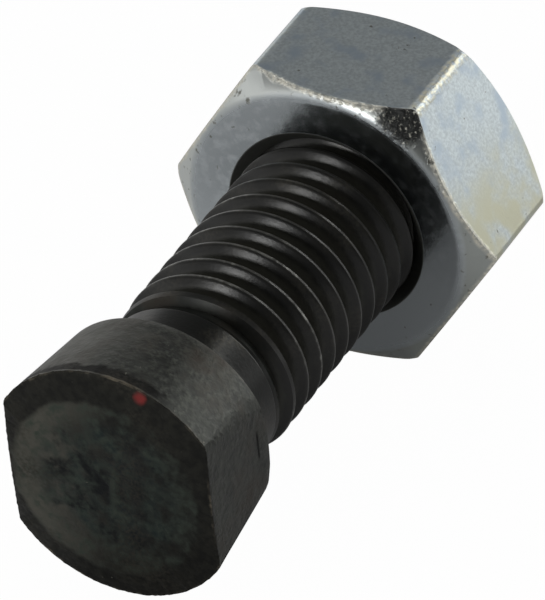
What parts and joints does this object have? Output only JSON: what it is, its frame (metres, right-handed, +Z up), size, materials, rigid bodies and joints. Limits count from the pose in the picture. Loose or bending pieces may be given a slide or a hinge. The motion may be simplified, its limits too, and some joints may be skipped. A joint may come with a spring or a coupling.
{
  "type": "plough bolt",
  "caption": "Plough bolt with a conical head, opposite flats and a metric thread, with its hexagon nut run up the shank.",
  "frame": {"origin": "centre of the flat end of the bolt's head", "axes": "+Y along the bolt towards its threaded tip, +Z up through the middle of a flat of the nut"},
  "size_m": [0.0218, 0.04, 0.0188],
  "materials": {
    "black_steel": "quenched and tempered black steel, satin, lightly oiled, with bright wear on the thread's crests",
    "zinc_plated_steel": "clear passivated zinc plate over turned and forged steel, with a rough burr round the chamfer"
  },
  "bodies": {
    "bolt": {"plough_bolt": "black_steel"},
    "nut": {"hex_nut": "zinc_plated_steel"}
  },
  "joints": [
    {"name": "nut_travel", "type": "slide", "parent": "bolt", "child": "nut", "axis": [0, 1, 0], "range_m": [-0.014, 0.0105]}
  ]
}
